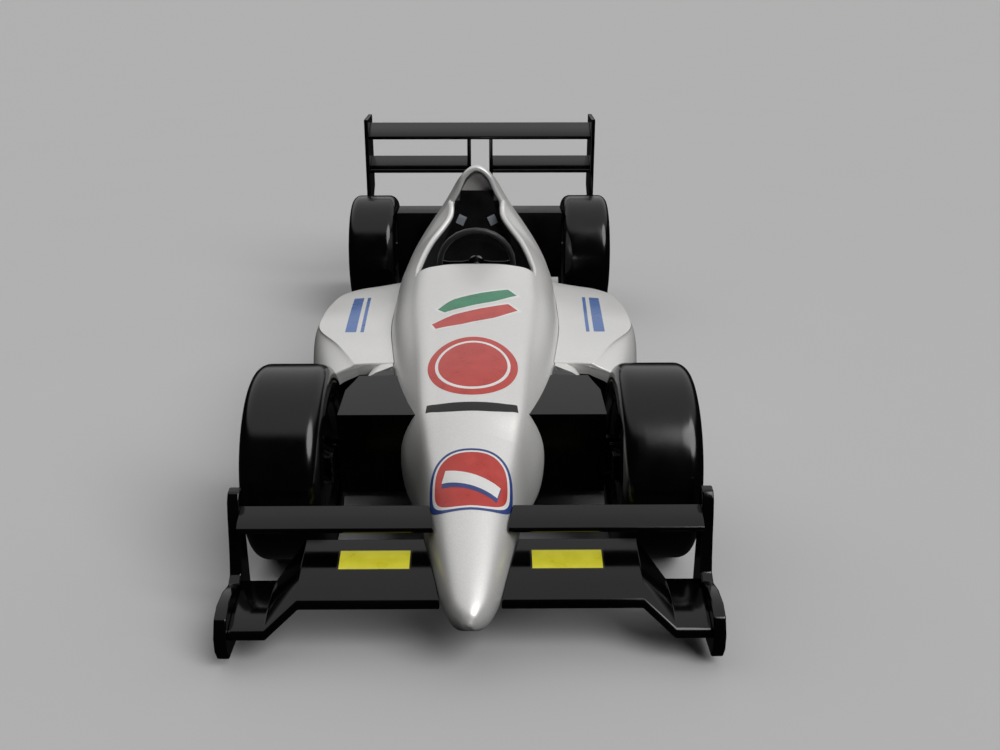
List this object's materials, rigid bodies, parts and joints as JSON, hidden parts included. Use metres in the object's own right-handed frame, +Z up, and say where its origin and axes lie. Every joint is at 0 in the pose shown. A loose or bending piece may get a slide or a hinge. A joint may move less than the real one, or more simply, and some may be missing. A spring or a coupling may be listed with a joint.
{
  "type": "open wheel racing car",
  "caption": "Single-seat open wheel racing car with a pointed nose, faired suspension, front and rear wings, spinning wheels and coupled steering.",
  "frame": {"origin": "on the ground under the middle of the car", "axes": "+Z up, nose towards -Y, the driver's left side towards +X"},
  "size_m": [1.51, 4.308, 1.0864],
  "materials": {
    "body_paint": "pearl white gloss",
    "black_gloss": "gloss black",
    "tyre_rubber": "polished black rubber",
    "rim_alloy": "dark satin",
    "upright_alloy": "machined",
    "hoop_steel": "satin",
    "cast_alloy": "cast",
    "radiator_core": "matt",
    "seat_shell": "gloss",
    "wheel_grip": "satin",
    "carbon_panel": "satin"
  },
  "bodies": {
    "chassis": {"nose_cone": "body_paint", "front_wing_left": "black_gloss", "front_wing_right": "black_gloss", "front_flap_left": "black_gloss", "front_flap_right": "black_gloss", "front_endplate_left": "black_gloss", "front_endplate_right": "black_gloss", "monocoque": "body_paint", "cowl": "body_paint", "hoop_fairing": "body_paint", "engine_cover": "body_paint", "sidepod_left": "body_paint", "sidepod_right": "body_paint", "radiators": "radiator_core", "undertray": "carbon_panel", "front_suspension_left": "black_gloss", "front_suspension_right": "black_gloss", "rear_suspension_left": "black_gloss", "rear_suspension_right": "black_gloss", "rear_uprights": "upright_alloy", "engine": "cast_alloy", "gearbox": "cast_alloy", "rear_wing_upper": "black_gloss", "rear_wing_lower": "black_gloss", "rear_endplate_left": "black_gloss", "rear_endplate_right": "black_gloss", "rear_wing_struts": "black_gloss", "seat": "seat_shell", "headrest": "body_paint", "firewall": "carbon_panel", "steering_column": "hoop_steel", "dash_panel": "carbon_panel"},
    "knuckle_left": {"knuckle_left": "upright_alloy", "brake_duct_left": "carbon_panel"},
    "knuckle_right": {"knuckle_right": "upright_alloy", "brake_duct_right": "carbon_panel"},
    "steering_wheel": {"steering_wheel": "wheel_grip"},
    "wheel_front_left": {"tyre_front_left": "tyre_rubber", "rim_front_left": "rim_alloy"},
    "wheel_front_right": {"tyre_front_right": "tyre_rubber", "rim_front_right": "rim_alloy"},
    "wheel_rear_left": {"tyre_rear_left": "tyre_rubber", "rim_rear_left": "rim_alloy"},
    "wheel_rear_right": {"tyre_rear_right": "tyre_rubber", "rim_rear_right": "rim_alloy"}
  },
  "joints": [
    {"name": "steer_left", "type": "hinge", "parent": "chassis", "child": "knuckle_left", "pos_m": [0.5775, -1.36, 0.34], "axis": [0, 0, 1], "range_deg": [-12, 12]},
    {"name": "steer_right", "type": "hinge", "parent": "chassis", "child": "knuckle_right", "pos_m": [-0.5775, -1.36, 0.34], "axis": [0, 0, 1], "range_deg": [-12, 12]},
    {"name": "steering_wheel_turn", "type": "hinge", "parent": "chassis", "child": "steering_wheel", "pos_m": [0, -0.124, 0.712], "axis": [0, 0.9781, 0.2079], "range_deg": [-144, 144]},
    {"name": "spin_front_left", "type": "hinge", "parent": "knuckle_left", "child": "wheel_front_left", "pos_m": [0.6175, -1.36, 0.34], "axis": [1, 0, 0], "continuous": true},
    {"name": "spin_front_right", "type": "hinge", "parent": "knuckle_right", "child": "wheel_front_right", "pos_m": [-0.6175, -1.36, 0.34], "axis": [1, 0, 0], "continuous": true},
    {"name": "spin_rear_left", "type": "hinge", "parent": "chassis", "child": "wheel_rear_left", "pos_m": [0.6175, 1.494, 0.34], "axis": [1, 0, 0], "continuous": true},
    {"name": "spin_rear_right", "type": "hinge", "parent": "chassis", "child": "wheel_rear_right", "pos_m": [-0.6175, 1.494, 0.34], "axis": [1, 0, 0], "continuous": true}
  ],
  "couplings": [
    {"joint": "steer_right", "follows": "steer_left", "ratio": 1},
    {"joint": "steering_wheel_turn", "follows": "steer_left", "ratio": 12}
  ]
}
